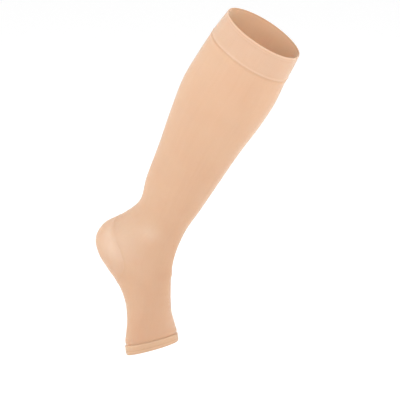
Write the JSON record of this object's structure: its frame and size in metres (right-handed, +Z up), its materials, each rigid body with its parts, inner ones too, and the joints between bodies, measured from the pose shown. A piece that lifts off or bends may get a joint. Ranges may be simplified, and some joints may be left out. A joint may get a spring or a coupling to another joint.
{
  "type": "open-toe knee-high compression stocking",
  "caption": "Hollow open-toe knee-high compression stocking in its worn form: knitted tube with a doubled top band, a heel pocket and a toe band.",
  "frame": {"origin": "centre of the top band, where the wearer's leg holds the stocking", "axes": "+Z up, +X the way the shin faces, -Y the inner side of the leg; the leg leans to +X and to -Y going up, and the foot points down"},
  "size_m": [0.3011, 0.162, 0.53],
  "materials": {
    "top_band_knit": "matt elastic knit, doubled",
    "leg_knit": "fine dense elastic knit with a soft sheen",
    "heel_knit": "fine elastic knit, a little looser and paler",
    "toe_band_knit": "matt elastic knit, doubled"
  },
  "bodies": {
    "root": {"top_band": "top_band_knit", "leg_and_foot": "leg_knit", "heel_pocket": "heel_knit", "toe_band": "toe_band_knit"}
  },
  "joints": []
}
